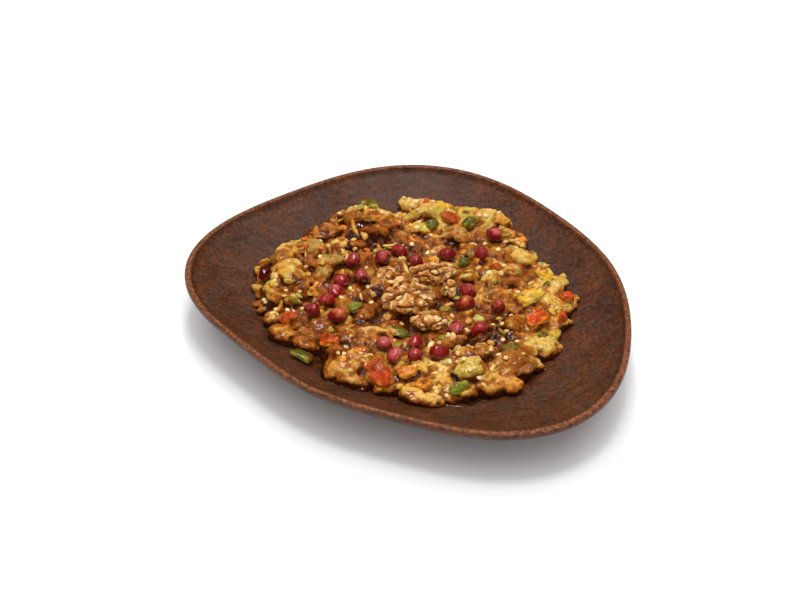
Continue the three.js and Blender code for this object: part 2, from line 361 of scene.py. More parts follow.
def area_light(name, place, size, power, mirrored=True):
    """A light in metres and watts that faces the plate, and is seen in gloss if it is mirrored."""
    data = bpy.data.lights.new(name, "AREA")
    data.shape = "RECTANGLE"
    data.size, data.size_y = size
    data.energy = power
    lamp = linked(name, data)
    lamp.visible_glossy = mirrored
    lamp.location = place
    lamp.rotation_euler = (Vector() - Vector(place)).to_track_quat("-Z", "Y").to_euler()


def studio():
    """Two large soft lights that gloss doesn't show, three small ones for sparkle, and a world that
    is white to the camera and dimmer as light."""
    area_light("key", (-0.05, 0.4, 1.1), (0.12, 0.1), 2)
    area_light("over", (0.03, -0.1, 1.3), (0.28, 0.28), 4.5)
    area_light("top", (0.03, 0.0, 1.2), (1.7, 1.7), 13, mirrored=False)
    area_light("back", (0, 1.1, 0.95), (0.9, 0.07), 1.0)
    area_light("front", (0, -1.3, 1.1), (1.4, 0.8), 4.2, mirrored=False)
    world = bpy.data.worlds.new("studio")
    bpy.context.scene.world = world
    world.use_nodes = True
    background = world.node_tree.nodes["Background"]
    background.inputs["Color"].default_value = (1, 1, 1, 1)
    seen = world.node_tree.nodes.new("ShaderNodeMapRange")
    seen.inputs["To Min"].default_value = 0.40
    seen.inputs["To Max"].default_value = 1.0
    path = world.node_tree.nodes.new("ShaderNodeLightPath")
    world.node_tree.links.new(path.outputs["Is Camera Ray"], seen.inputs["Value"])
    world.node_tree.links.new(seen.outputs["Result"], background.inputs["Strength"])
    world.cycles_visibility.glossy = False
    bpy.context.scene.view_settings.view_transform = "Standard"


def floor():
    """A round white table top, small enough to be evenly lit right to its edge."""
    turn = full_turn(96)
    rim = FLOOR_RADIUS * np.stack([np.cos(turn), np.sin(turn), 0 * turn], axis=1)
    piece = mesh_object("floor", rim, [range(len(rim))], body=None)
    paint = Shader("floor_white", Roughness=0.9)
    paint.colour(paint.ramp(paint.noise(40), (0.3, (0.93, 0.93, 0.93)), (0.7, (0.95, 0.95, 0.95))))
    piece.data.materials.append(paint.material)


# ---------------------------------------------------------------- plate

def outline_scale(angle):
    scale = np.ones_like(angle)
    for count, share, at in PLATE_LOBES:
        scale += share * np.cos(count * (angle - math.radians(at)))
    return scale


def plate_centre():
    """Shifts the outline so that its box is centred on the origin, as in the CAD."""
    angle = full_turn(720)
    radius = PLATE["radius"] * outline_scale(angle)
    x, y = radius * np.cos(angle), radius * np.sin(angle)
    return -np.array([x.min() + x.max(), y.min() + y.max()]) / 2


PLATE_CENTRE = plate_centre()


def inside_height(share):
    return PLATE["floor"] + (PLATE["height"] - PLATE["floor"]) * share ** PLATE["inside_power"]


def plate_reach(x, y):
    """Distances from the plate's middle to places, and on to its edge in the same directions."""
    dx, dy = x - PLATE_CENTRE[0], y - PLATE_CENTRE[1]
    return np.hypot(dx, dy), PLATE["radius"] * outline_scale(np.arctan2(dy, dx))


def plate_top(x, y):
    """Height of the eating surface."""
    away, edge = plate_reach(x, y)
    return inside_height(away / edge)


def plate_profile():
    """Radius and height of each ring, from under the middle round the rim to the top of the middle."""
    radius, height, rim = PLATE["radius"], PLATE["height"], PLATE["rim_radius"]
    foot, recess = PLATE["foot_inner"], PLATE["foot_recess"]
    edge = height - PLATE["edge_height"]
    rings = [(r, recess) for r in np.linspace(0, foot, 8)]
    rings += [(foot + 0.5 * recess, 0.35 * recess), (foot + recess, 0)]
    rings += [(PLATE["foot_outer"] - 1.2, 0), (PLATE["foot_outer"], 0.3)]
    for share in np.linspace(0, 1, 18)[1:]:
        out = PLATE["foot_outer"] + share * (radius - rim - PLATE["foot_outer"])
        rings.append((out, edge * share ** PLATE["under_power"]))
    for turn in np.radians([-62, -40, -15]):
        rings.append((radius - rim + rim * math.cos(turn), edge + 1.5 * rim + rim * math.sin(turn)))
    for turn in np.radians(np.linspace(0, 150, 11)):
        rings.append((radius - rim + rim * math.cos(turn), height - rim + rim * math.sin(turn)))
    inner = 1 - 2.1 * rim / radius
    for step in np.linspace(0, 1, 46):
        share = inner * (1 - step) ** 0.9
        rings.append((radius * share, inside_height(share)))
    return np.array(rings)


def plate():
    """The stoneware plate: a lathe warped to the outline, slightly uneven as a thrown pot is."""
    sides = 224
    rings = plate_profile()[1:-1]
    angles = full_turn(sides)
    radius = rings[:, 0][:, None] * outline_scale(angles)
    x = radius * np.cos(angles) + PLATE_CENTRE[0]
    y = radius * np.sin(angles) + PLATE_CENTRE[1]
    z = np.repeat(rings[:, 1][:, None], sides, axis=1)
    points, faces = revolved(np.stack([x, y, z], axis=2), outward=False)
    wave = 0.14 * fractal(points, 26, 2)
    high = smoothstep(4, 10, points[:, 2])
    points[:, 2] += wave * high * smoothstep(PLATE["height"], PLATE["height"] - 1.2, points[:, 2])
    piece = mesh_object("plate_stoneware", points, faces)
    away, edge = plate_reach(points[:, 0], points[:, 1])
    crest = smoothstep(3.6, 2.2, edge - away) * smoothstep(1.3, 0.3, PLATE["height"] - points[:, 2])
    float_attribute(piece, "rim", crest)
    piece.data.materials.append(stoneware())
    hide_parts("plate")


def stoneware():
    """Dark brown fired clay: fine speckle over soft clouds, short grain, and a worn rusty rim."""
    clay = Shader("stoneware", Specular_IOR_Level=0.3)
    clouds = clay.noise(17, 4, 0.6)
    speckle = clay.noise(1.5, 4, 0.7)
    grain = clay.noise(1.9, 4, 0.65, vector=clay.stretched((0.28, 1, 1), 0.35))
    body = clay.ramp(clouds, (0.32, (0.062, 0.0185, 0.0056)), (0.68, (0.126, 0.037, 0.0105)))
    ash = clay.ramp(clay.noise(7, 5, 0.65, distortion=0.6), (0.44, 0.0), (0.62, 0.75))
    body = clay.mix(ash, body, (0.062, 0.034, 0.022))
    spots = clay.ramp(speckle, (0.34, (0.4, 0.38, 0.38)), (0.5, (1, 1, 1)), (0.66, (1.6, 1.5, 1.5)))
    body = clay.mix(0.85, body, spots, "MULTIPLY")
    streaks = clay.ramp(grain, (0.36, (0.6, 0.55, 0.52)), (0.55, (1, 1, 1)), (0.72, (1.35, 1.12, 1.0)))
    body = clay.mix(0.7, body, streaks, "MULTIPLY")
    chips = clay.ramp(clay.noise(1.8, 4, 0.7), (0.46, 0.0), (0.6, 1.0))
    worn = clay.math("MULTIPLY", clay.attribute("rim"), clay.math("ADD", chips, 0.25, clamp=True))
    rust = clay.ramp(speckle, (0.3, (0.14, 0.04, 0.014)), (0.7, (0.36, 0.12, 0.045)))
    clay.colour(clay.mix(worn, body, rust))
    clay.roughness(clay.ramp(speckle, (0.3, 0.36), (0.7, 0.52)))
    clay.bump((speckle, 0.22), (grain, 0.25), (clay.noise(5), 0.25))
    return clay.material


# ---------------------------------------------------------------- the mash's surface, from the frame

def tree_of(name):
    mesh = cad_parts[name].data
    return BVHTree.FromPolygons(
        [tuple(v.co / MM) for v in mesh.vertices], [tuple(p.vertices) for p in mesh.polygons]
    )


TOPPINGS = [name for name in sorted(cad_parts) if name not in ("plate", "mash")]


def toppings_of(kind):
    return [name for name in TOPPINGS if name.startswith(kind)]


def principal(name):
    """Centre, axes as columns from longest to shortest, and half lengths along them, in mm."""
    points = np.unique(points_of(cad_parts[name].data).round(4), axis=0)
    low, high = points.min(0), points.max(0)
    centre = points.mean(0)
    spread, axes = np.linalg.eigh(np.cov((points - centre).T))
    axes = axes[:, np.argsort(-spread)]
    if axes[2, 2] < 0:
        axes[:, 2] *= -1
    if np.linalg.det(axes) < 0:
        axes[:, 1] *= -1
    local = (points - centre) @ axes
    centre = centre + axes @ ((local.min(0) + local.max(0)) / 2)
    return centre, axes, (local.max(0) - local.min(0)) / 2


FORMS = {name: principal(name) for name in TOPPINGS}


def plan_gap(name, x, y):
    """Distance in plan from points to a topping's outline, less than 0 inside."""
    centre, axes, half = FORMS[name]
    dx, dy = x - centre[0], y - centre[1]
    reach = np.sqrt(((axes * half)[:2, :] ** 2).sum(1))
    cross = ((axes[0] * half) * (axes[1] * half)).sum()
    spread = np.array([[reach[0] ** 2, cross], [cross, reach[1] ** 2]])
    inverse = np.linalg.inv(spread)
    scaled = np.sqrt(inverse[0, 0] * dx * dx + 2 * inverse[0, 1] * dx * dy + inverse[1, 1] * dy * dy)
    away = np.hypot(dx, dy)
    return np.where(scaled > 1e-6, away * (1 - 1 / np.maximum(scaled, 1e-6)), -reach.min())


class Field:
    """A grid of heights over the plate, in mm, read with bilinear interpolation."""

    def __init__(self, step=1.0, side=90.0):
        self.step, self.low = step, -side
        self.count = int(2 * side / step) + 1
        axis = self.low + step * np.arange(self.count)
        self.x, self.y = np.meshgrid(axis, axis, indexing="ij")
        self.z = np.full(self.x.shape, np.nan)

    def read(self, x, y):
        u = np.clip((np.asarray(x) - self.low) / self.step, 0, self.count - 1.001)
        v = np.clip((np.asarray(y) - self.low) / self.step, 0, self.count - 1.001)
        i, j = u.astype(int), v.astype(int)
        fu, fv = u - i, v - j
        z = self.z
        return blend(blend(z[i, j], z[i + 1, j], fu), blend(z[i, j + 1], z[i + 1, j + 1], fu), fv)

    def blur(self, grid, sigma):
        """A Gaussian blur of a grid of the same shape over that many mm."""
        reach = int(3 * sigma / self.step) + 1
        offsets = np.arange(-reach, reach + 1) * self.step
        kernel = np.exp(-0.5 * (offsets / sigma) ** 2)
        kernel /= kernel.sum()
        for axis in (0, 1):
            grid = np.apply_along_axis(np.convolve, axis, grid, kernel, mode="same")
        return grid


def mash_field():
    """The mash's top with its pockets filled in, and a soft share of how far in from its edge."""
    tree = tree_of("mash")
    field = Field()
    inside = np.zeros(field.x.shape, bool)
    down = Vector((0, 0, -1))
    for index in np.ndindex(field.x.shape):
        hit = tree.ray_cast(Vector((field.x[index], field.y[index], 60)), down)[0]
        if hit:
            field.z[index] = hit.z
            inside[index] = True
    pocket = np.zeros(inside.shape, bool)
    for name in TOPPINGS:
        pocket |= plan_gap(name, field.x, field.y) < 1.3
    known = inside & ~pocket
    weight = field.blur(known.astype(float), 1.5)
    height = field.blur(np.where(known, field.z, 0.0), 1.5)
    wide_weight = field.blur(known.astype(float), 5.0)
    wide_height = field.blur(np.where(known, field.z, 0.0), 5.0)
    near = np.where(weight > 0.05, height / np.maximum(weight, 1e-6), np.nan)
    far = np.where(wide_weight > 1e-4, wide_height / np.maximum(wide_weight, 1e-9), 15.0)
    field.z = np.where(known, field.z, np.where(np.isnan(near), far, near))
    depth = Field()
    solid = field.blur(inside.astype(float), 2.0)
    # The outline is open at the back, where the plate shows between two heaps.
    notch = np.exp(-((field.x + 6) ** 2 + (field.y - 72) ** 2) / 7**2)
    depth.z = solid * (1 - notch)
    return field, depth


MASH_TOP, MASH_DEPTH = mash_field()


# ---------------------------------------------------------------- the mash

# Heaps of pulp that stand out: x, y, length, width, heading in degrees and kind of pulp.
HEAPS = (
    (42, -46, 21, 13, 25, "pale"), (24, -52, 20, 13, 10, "pale"), (62, 0, 19, 13, 40, "pale"),
    (36, 59, 19, 11, -25, "lime"), (9, 63, 17, 10, 0, "pale"), (-51, 15, 17, 11, -40, "pale"),
    (-26, -48, 15, 13, 0, "gold"),
    (-18, 66, 12, 9, 0, "lime"), (-25, 62, 7, 6, 0, "pale"), (-11, 61, 10, 5, -20, "pale"),
    (-24, 57, 11, 5, 0, "brown"), (-43, 35, 12, 10, 0, "olive"), (-33, 27, 10, 7, 30, "olive"),
    (-24, 31, 9, 7, 0, "olive"), (-37, 18, 9, 6, 60, "olive"), (-54, 33, 11, 9, 0, "pale"),
    (-57, 26, 8, 6, 30, "brown"), (-32, 37, 9, 6, 0, "pale"),
    (-51, 14, 15, 7, -40, "lime"), (-59, 9, 7, 9, 0, "lime"), (-57, 0, 9, 7, -30, "gold"),
    (-13, 49, 13, 7, 0, "brown"), (4, 67, 9, 7, 0, "pale"), (9, 52, 7, 6, 0, "lime"),
    (12, 68, 9, 6, 0, "gold"), (19, 67, 7, 5, 0, "yellow"), (16, 59, 7, 6, 0, "lime"),
    (31, 64, 9, 7, 20, "lime"), (41, 61, 10, 7, -30, "pale"), (46, 56, 8, 5, -40, "gold"),
    (24, 48, 9, 7, 0, "olive"), (55, 41, 7, 8, 0, "pale"), (54, 28, 14, 10, -20, "pale"),
    (44, 16, 12, 10, 0, "pale"), (64, 19, 10, 7, -45, "pale"), (67, 7, 11, 9, -50, "pale"),
    (59, -1, 14, 6, 35, "yellow"), (30, 17, 8, 6, 0, "lime"), (51, -20, 13, 9, 20, "amber"),
    (-50, -4, 7, 5, 0, "pale"), (-59, -12, 6, 7, 0, "lime"), (-52, -13, 8, 6, 0, "brown"),
    (-53, -23, 10, 9, 0, "gold"), (-43, -28, 12, 10, 0, "amber"), (-28, -39, 9, 7, 0, "brown"),
    (-24, -47, 14, 10, 0, "pale"), (-24, -54, 11, 7, -20, "pale"), (0, -52, 7, 7, 0, "yellow"),
    (-19, -10, 10, 7, 0, "pale"), (-24, -5, 6, 5, 0, "lime"), (-12, -25, 16, 4, 0, "pale"),
    (-25, -30, 15, 6, 0, "brown"), (5, -63, 10, 8, 0, "pale"), (25, -42, 11, 7, 0, "gold"),
    (36, -41, 10, 7, 0, "pale"), (61, -30, 14, 10, 15, "pale"), (52, -37, 8, 6, 0, "brown"),
    (57, -41, 7, 6, 0, "pale"), (28, -52, 12, 6, 20, "lime"), (26, -60, 10, 7, 15, "lime"),
    (11, -65, 11, 8, 0, "pale"), (38, -57, 10, 6, 30, "gold"), (47, -55, 8, 8, 0, "gold"),
    (53, -47, 8, 5, 40, "brown"), (39, -52, 13, 9, 20, "gold"), (29, -47, 11, 9, 0, "pale"),
    (47, -48, 12, 9, 30, "gold"),
    (21, -32, 12, 6, 10, "amber"), (33, -33, 8, 6, 0, "dark"),
    (41, -30, 8, 6, 0, "dark"), (55, 12, 8, 6, 40, "dark"),
)

# Where brown molasses sauce has run over the pulp (more than 0) or left it pale (less than 0):
# x, y and spread in mm, and strength.
STAINS = (
    (-2, 2, 31, 1.0),
    (-29, 50, 13, 1.3),
    (-13, 44, 13, 1.1),
    (14, 38, 12, 0.4),
    (-30, 12, 14, 0.3),
    (-30, 29, 10, -0.5),
    (-53, -6, 13, 0.6),
    (-50, -22, 12, 0.25),
    (-32, -31, 14, 0.65),
    (-45, 22, 9, 0.35),
    (40, -20, 14, 0.8),
    (36, -30, 9, 2.3),
    (24, -34, 7, 0.7),
    (43, -15, 5, 1.2),
    (52, 12, 6, 1.8),
    (35, 27, 6, 1.1),
    (32, 44, 6, 1.1),
    (19, 1, 5, 1.2),
    (1, -17, 7, 1.1),
    (-48, 6, 6, 1.1),
    (-43, 36, 6, -1.2),
    (40, 38, 8, 0.8),
    (-27, -38, 7, 0.3),
    (9, -29, 10, 0.8),
    (20, -54, 17, -0.4),
    (-26, -50, 9, 0.05),
    (62, 5, 14, -0.5),
    (62, -32, 10, -0.6),
    (10, 66, 16, -1.2),
    (40, 60, 13, -0.8),
    (-20, 66, 9, -0.8),
    (-55, 16, 12, -0.5),
    (50, 26, 9, -0.5),
)

PULP = {
    "pale": (0.70, 0.44, 0.12),
    "lime": (0.52, 0.41, 0.075),
    "yellow": (0.72, 0.38, 0.03),
    "gold": (0.54, 0.25, 0.04),
    "olive": (0.36, 0.22, 0.055),
    "amber": (0.36, 0.105, 0.010),
    "brown": (0.15, 0.031, 0.003),
    "dark": (0.06, 0.013, 0.003),
}
KINDS = tuple(PULP)
# Near-black sauce, also laid in the deepest hollows of the pulp as painted shade.
SAUCE_AND_SHADE_DARK = np.array([0.045, 0.009, 0.002])

MASH_VOXEL = 0.68


def around_mash(angle, radius):
    """The x and y of places about the mash's middle."""
    return MASH_CENTRE[0] + radius * np.cos(angle), MASH_CENTRE[1] + radius * np.sin(angle)


def outline_radius(angle):
    """How far the mash reaches from its middle at each angle."""
    radii = np.arange(40.0, 90.0, 0.5)
    x, y = around_mash(angle[:, None], radii)
    return radii[np.argmax(MASH_DEPTH.read(x, y) < 0.5, axis=1)]


def mash_core(inset=3.5, lowered=1.9):
    """A closed core a little under the mash's top and inside its edge."""
    sides, over, under_rings = 90, 30, 8
    angle = full_turn(sides)
    edge = outline_radius(angle) - inset
    shares = np.concatenate([np.linspace(0.02, 1, over), np.linspace(1, 0.02, under_rings)])
    radius = shares[:, None] * edge
    x, y = around_mash(angle, radius)
    under = plate_top(x, y) + MASH_UNDER_GAP
    top = np.maximum(MASH_TOP.read(x, y) - lowered, under + 1.5)
    z = np.where(np.arange(len(shares))[:, None] < over, top, under)
    return revolved(np.stack([x, y, z], axis=2))


def ring_share(x, y):
    """How far out a point is, 0 in the mash's middle and 1 at its outline, and the mm left to there."""
    dx, dy = x - MASH_CENTRE[0], y - MASH_CENTRE[1]
    away = math.hypot(dx, dy)
    reach = outline_radius(np.array([math.atan2(dy, dx)]))[0]
    return away / reach, reach - away


def lump_rows(rng):
    """Every lump of pulp: x, y, half length, half width, half height, heading, rise and kind."""
    rows = []
    for x, y, length, width, heading, kind in HEAPS:
        rise = -0.8 if kind == "dark" else 2.6 - 1.2 * (y > 60)
        rows.append((x, y, 0.62 * length, 0.62 * width, 0.38 * width + 0.7, math.radians(heading), rise,
                     KINDS.index(kind)))

    def spread(spacing, low, high, narrow, flat, rises, ring=(0.0, 1.0)):
        """Lumps on a grid, each moved by up to most of a cell, so that no large gap is left."""
        cells = np.arange(-75, 85, spacing)
        for cell_x, cell_y in itertools.product(cells, cells):
            x, y = (cell_x, cell_y) + rng.uniform(-0.45, 0.45, 2) * spacing
            size = rng.uniform(low, high)
            share, room = ring_share(x, y)
            if not ring[0] < share < ring[1] or room < 0.7 * size:
                continue
            rows.append((x, y, size, size * rng.uniform(*narrow), size * rng.uniform(*flat),
                         rng.uniform(0, 2 * math.pi), rng.uniform(*rises), pulp_kind(x, y, rng)))

    spread(12.0, 5.5, 8.5, (0.55, 0.85), (0.38, 0.5), (-1.2, 1.4), (0.58, 1.0))
    spread(11.0, 4.5, 7.5, (0.5, 0.8), (0.36, 0.5), (-1.6, 0.8), (0.0, 0.62))
    spread(10.0, 2.4, 4.4, (0.5, 0.9), (0.45, 0.65), (-2.6, 0.0))
    for turn in rng.uniform(0, 2 * math.pi, 200):
        radius = outline_radius(np.array([turn]))[0] - rng.uniform(1.7, 5.0)
        x, y = around_mash(turn, radius)
        size = rng.uniform(2.0, 4.6)
        rows.append((x, y, size, size * rng.uniform(0.5, 0.9), size * rng.uniform(0.45, 0.8),
                     turn + rng.normal(0, 0.9), -rng.uniform(0, 9), pulp_kind(x, y, rng)))
    return np.array(rows)


def stain(x, y):
    """How much sauce lies at a place, before any noise: 0 for none and 1 for a lot."""
    total = np.full(np.shape(x), 0.42)
    for stain_x, stain_y, spread, strength in STAINS:
        away = ((x - stain_x) ** 2 + (y - stain_y) ** 2) / spread**2
        total = total + strength * np.exp(-away)
    return total


def pulp_kind(x, y, rng):
    """A kind of pulp, browner where there is more sauce."""
    brown = stain(x, y) - 0.17 + rng.normal(0, 0.25)
    if brown > 0.75:
        return KINDS.index(rng.choice(["brown", "amber", "dark", "brown"]))
    if brown > 0.4:
        return KINDS.index(rng.choice(["amber", "gold", "brown", "olive", "gold"]))
    if brown > 0.1:
        return KINDS.index(rng.choice(["gold", "pale", "pale", "lime", "gold"]))
    return KINDS.index(rng.choice(["pale", "pale", "lime", "yellow"]))


def lump_height(rows):
    """The middle height of each lump: near the mash's top, above the plate, and beside toppings low."""
    x, y, _, half_width, half_height, _, rise, _ = rows.T
    low = plate_top(x, y) + 0.55 * half_height
    z = np.maximum(MASH_TOP.read(x, y) - half_height + rise, low)
    top = z + half_height
    for name in TOPPINGS:
        centre, _, half = FORMS[name]
        gap = plan_gap(name, x, y) - 0.5 * half_width
        allowed = centre[2] - 0.1 * half[2] + 1.1 * np.maximum(gap, 0)
        top = np.where(gap < 6, np.minimum(top, allowed), top)
    return np.maximum(top - half_height, low - 0.6)


def lump_soup(rows, z, rng):
    """The core and all lumps as one soup of closed shapes."""
    sphere, faces = icosphere(3)
    forms = []
    for _ in range(18):
        swell = 1 + 0.36 * fractal(sphere, 0.8, 2, offset=rng.uniform(0, 90))
        forms.append(sphere * swell[:, None])
    parts = [mash_core()]
    for index, (x, y, length, width, height, heading, _, _) in enumerate(rows):
        axes = tilted_axes(heading, rng.normal(0, 0.2, 2))
        form = forms[index % len(forms)] * (length, width, height)
        parts.append((form @ axes + (x, y, z[index]), faces))
    return joined(parts)


def fused(points, faces, voxel_mm):
    """The voxel remesh of a soup of closed shapes, smoothed a little, as a mesh."""
    soup = mesh_object("soup", points, faces, body=None)
    remesh = soup.modifiers.new("remesh", "REMESH")
    remesh.mode = "VOXEL"
    remesh.voxel_size = voxel_mm * MM
    relax = soup.modifiers.new("relax", "SMOOTH")
    relax.factor = 0.5
    relax.iterations = 8
    return thinned_under(outer_shell(applied(soup)))


def outer_shell(mesh):
    """Deletes the walls of closed holes inside a mesh: all that isn't joined to its highest point."""
    shell = bmesh.new()
    shell.from_mesh(mesh)
    highest = max(shell.verts, key=lambda vertex: vertex.co.z)
    reached = {highest}
    border = [highest]
    while border:
        vertex = border.pop()
        for edge in vertex.link_edges:
            other = edge.other_vert(vertex)
            if other not in reached:
                reached.add(other)
                border.append(other)
    inner = [vertex for vertex in shell.verts if vertex not in reached]
    bmesh.ops.delete(shell, geom=inner, context="VERTS")
    shell.to_mesh(mesh)
    shell.free()
    return mesh


def thinned_under(mesh):
    """Merges faces under the mash, where it lies on the plate and nobody sees it."""
    points = points_of(mesh)
    x, y = points[:, 0], points[:, 1]
    low = points[:, 2] < plate_top(x, y) + 2.2
    hidden = np.flatnonzero(low & (normals_of(mesh)[:, 2] < 0.1) & (MASH_DEPTH.read(x, y) > 0.97))
    piece = linked("thinned", mesh)
    piece.vertex_groups.new(name="under").add(hidden.tolist(), 1.0, "REPLACE")
    thin = piece.modifiers.new("thin", "DECIMATE")
    thin.ratio = 1 - 0.9 * len(hidden) / len(points)
    thin.vertex_group = "under"
    thin.vertex_group_factor = 10
    return applied(piece)


def settle(points):
    """Keeps mash points above the plate, and from covering toppings: low beside arils and walnuts."""
    x, y = points[:, 0], points[:, 1]
    z = points[:, 2]
    for name in TOPPINGS:
        centre, _, half = FORMS[name]
        near = (np.abs(x - centre[0]) < half[0] + 5) & (np.abs(y - centre[1]) < half[0] + 5)
        gap = plan_gap(name, x[near], y[near]) - 0.2
        buried = 0.0 if name.startswith(("aril", "walnut")) else 0.9
        lid = centre[2] + buried * half[2] + 1.8 * np.maximum(gap, 0)
        z[near] = np.where(gap < 3.5, np.minimum(z[near], lid), z[near])
    points[:, 2] = np.maximum(z, plate_top(x, y) + 0.06)
    return points


def height_grid(points, step=0.8):
    """The highest point in each cell of a grid, or -1 where there is none."""
    grid = Field(step)
    grid.z = np.full(grid.x.shape, -1.0)
    i = np.clip(((points[:, 0] - grid.low) / step + 0.5).astype(int), 0, grid.count - 1)
    j = np.clip(((points[:, 1] - grid.low) / step + 0.5).astype(int), 0, grid.count - 1)
    np.maximum.at(grid.z, (i, j), points[:, 2])
    return grid


def softened(points, spread):
    """The height grid of the points blurred over that many mm."""
    grid = height_grid(points)
    filled = grid.z > 0
    weight = grid.blur(filled.astype(float), spread)
    grid.z = grid.blur(np.where(filled, grid.z, 0.0), spread) / np.maximum(weight, 1e-6)
    return grid


def nearest_lumps(points, rows, z):
    """For each point its two nearest lumps and how much it takes after the second."""
    tree = kdtree.KDTree(len(rows))
    for index, row in enumerate(rows):
        tree.insert((row[0], row[1], z[index]), index)
    tree.balance()
    first = np.empty(len(points), int)
    second = np.empty(len(points), int)
    share = np.empty(len(points))
    for index, point in enumerate(points):
        (_, near, gap), (_, other, other_gap) = tree.find_n(point, 2)
        first[index], second[index] = near, other
        share[index] = 0.5 * (1 - smoothstep(0.0, 2.2, other_gap - gap))
    return first, second, share


def fibres(points, rows, z, owner):
    """Noise drawn out along the heading of the lump that each point belongs to."""
    heading = rows[owner, 5]
    dx, dy = points[:, 0] - rows[owner, 0], points[:, 1] - rows[owner, 1]
    along = dx * np.cos(heading) + dy * np.sin(heading)
    across = dy * np.cos(heading) - dx * np.sin(heading)
    local = np.stack([0.25 * along, across, points[:, 2]], axis=1) + 7.0 * owner[:, None]
    return fractal(local, 1.3, 2)


def mash():
    """Pulp fused from lumps over a core, with fibres along each lump, and sauce with painted shade in its
    hollows.
    """
    rng = np.random.default_rng(11)
    rows = lump_rows(rng)
    z = lump_height(rows)
    mesh = fused(*lump_soup(rows, z, rng), MASH_VOXEL)
    mesh.name = "mash_pulp"
    points, normals = points_of(mesh), normals_of(mesh)
    first, second, share = nearest_lumps(points, rows, z)
    torn = 0.25 - np.abs(fractal(points, 3.0, 2, 31))
    swells = fractal(points, 12, 1, 71) + 0.8 * fractal(points, 5, 2)
    relief = 0.35 * fibres(points, rows, z, first) + swells + 0.6 * torn + 0.2
    points = settle(points + normals * relief[:, None])
    set_points(mesh, points)
    mesh.polygons.foreach_set("use_smooth", [True] * len(mesh.polygons))
    piece = linked("mash_pulp", mesh)
    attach(piece, "root")
    kinds = rows[:, 7].astype(int)
    tints = np.array([PULP[kind] for kind in KINDS])[kinds] * rng.uniform(0.8, 1.25, (len(rows), 1))
    colours = blend(tints[first], tints[second], share[:, None])
    heaped = np.where(first < len(HEAPS), 0.85, 0.4)[:, None]
    colours = blend(drifting_tints(points), colours, heaped)
    paint_pulp(piece, colours)
    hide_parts("mash")
    return piece


def drifting_tints(points):
    """Pulp colours that pass softly from pale to lime, gold and yellow over the mash."""
    tints = np.tile(PULP["pale"], (len(points), 1))
    for kind, size, start, offset in (("lime", 9, 0.05, 41), ("gold", 6, 0.0, 51), ("yellow", 5, 0.3, 61)):
        share = smoothstep(start, start + 0.3, fractal(points, size, 2, offset))[:, None]
        tints = blend(tints, PULP[kind], share)
    return tints


def paint_pulp(piece, colours):
    """Browns the pulp with sauce where it has run and in hollows, where the brown is partly sauce that
    pools and partly painted shade.
    """
    points = points_of(piece.data)
    hollow = softened(points, 2.4).read(points[:, 0], points[:, 1]) - points[:, 2]
    drift = 1.1 * fractal(points, 11, 2, offset=5) + 0.55 * fractal(points, 2.6, 2, offset=15)
    wet = stain(points[:, 0], points[:, 1]) + drift
    fine = softened(points, 1.1).read(points[:, 0], points[:, 1]) - points[:, 2]
    # Partly painted shade: hollows and the small gaps between lumps turn amber, brown and dark, as sauce
    # that pools there and as shade.
    shade = 0.6 * hollow + fine + wet
    amber = smoothstep(0.0, 0.5, shade)[:, None]
    browned = smoothstep(0.6, 1.7, shade)[:, None]
    sauce = smoothstep(1.5, 2.7, shade + 0.3 * hollow)[:, None]
    colours = blend(colours, PULP["amber"], 0.92 * amber)
    colours = blend(colours, PULP["brown"], 0.8 * browned)
    colours = blend(colours, SAUCE_AND_SHADE_DARK, sauce)
    colour_attribute(piece, "pulp", colours)
    float_attribute(piece, "sauce", sauce[:, 0])
    piece.data.materials.append(PULP_LOOK)


def pulp_material():
    """Wet, slightly see-through pulp with fine fibres, shinier where sauce lies."""
    pulp = Shader(
        "pulp",
        Subsurface_Weight=0.45,
        Subsurface_Radius=(1.0, 0.5, 0.15),
        Subsurface_Scale=2.0 * MM,
        Specular_IOR_Level=0.1,
        Coat_Weight=0.6,
        Coat_Roughness=0.07,
    )
    fine = pulp.noise(0.7, 4, 0.6)
    cloud = pulp.noise(2.4, 3, 0.6, distortion=0.6)
    base = pulp.attribute("pulp", "Color")
    clouds = pulp.ramp(cloud, (0.34, (0.78, 0.6, 0.42)), (0.5, (1, 1, 1)), (0.66, (1.1, 1.16, 1.2)))
    grain = pulp.ramp(fine, (0.32, (0.8, 0.7, 0.6)), (0.66, (1.12, 1.14, 1.12)))
    base = pulp.mix(1.0, base, clouds, "MULTIPLY")
    pulp.colour(pulp.mix(1.0, base, grain, "MULTIPLY"))
    pulp.roughness(pulp.math("SUBTRACT", 0.42, pulp.math("MULTIPLY", pulp.attribute("sauce"), 0.26)))
    pulp.bump((fine, 0.25), (cloud, 0.4))
    return pulp.material


# ---------------------------------------------------------------- toppings that are CAD nodes

def laid(name, form):
    """A form given a CAD topping's length, width and thickness, and moved to where it lies."""
    centre, axes, half = FORMS[name]
    low, high = form.min(axis=0), form.max(axis=0)
    fitted = (form - (low + high) / 2) * 2 * half / (high - low)
    return fitted @ axes.T + centre


def topping(name, points, faces, look):
    """The modelled piece that stands for a CAD topping."""
    piece = mesh_object(f"{name}_modelled", points, faces)
    piece.data.materials.append(look)
    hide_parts(name)
    return piece


# Dark red painted as shade on the undersides of the arils, and over aril_24.
ARIL_PAINTED_SHADE = np.array([0.055, 0.002, 0.002])
ARIL_RED = np.array([0.24, 0.007, 0.008])
ARIL_PINK_SHEEN = np.array([0.66, 0.15, 0.13])
ARIL_ORANGE_SHEEN = np.array([0.62, 0.17, 0.05])
